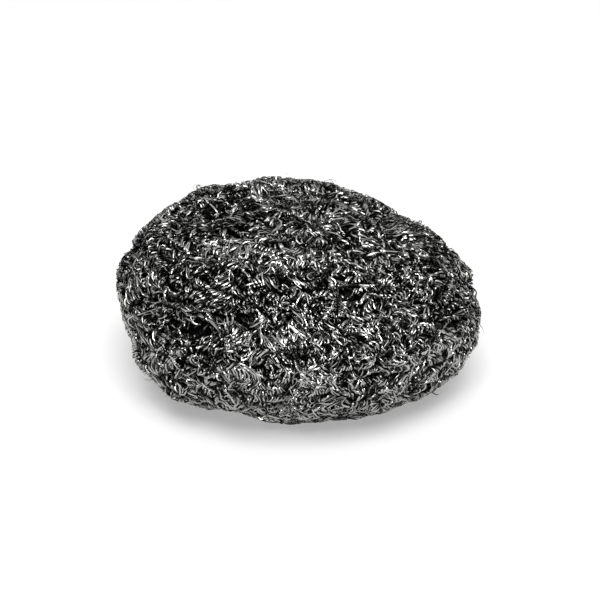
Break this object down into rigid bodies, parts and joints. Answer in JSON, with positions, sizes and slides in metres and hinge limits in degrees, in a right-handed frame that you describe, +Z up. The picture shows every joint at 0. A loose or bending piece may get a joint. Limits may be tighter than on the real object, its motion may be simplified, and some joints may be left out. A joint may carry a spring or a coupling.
{
  "type": "wire scrubber",
  "caption": "Oval scouring pad of fine knitted steel wire, rolled and gathered into a springy handful for scrubbing pans and benches.",
  "frame": {"origin": "middle of the flat underside that the pad rests on", "axes": "+Z up from the underside, +X along the pad's length towards its thinner end, front towards -Y"},
  "size_m": [0.0914, 0.0836, 0.0468],
  "materials": {
    "steel_wire": "bright drawn steel wire, knitted and crimped, dark in the gaps between loops"
  },
  "bodies": {
    "root": {"knitted_wire_pad": "steel_wire"}
  },
  "joints": []
}
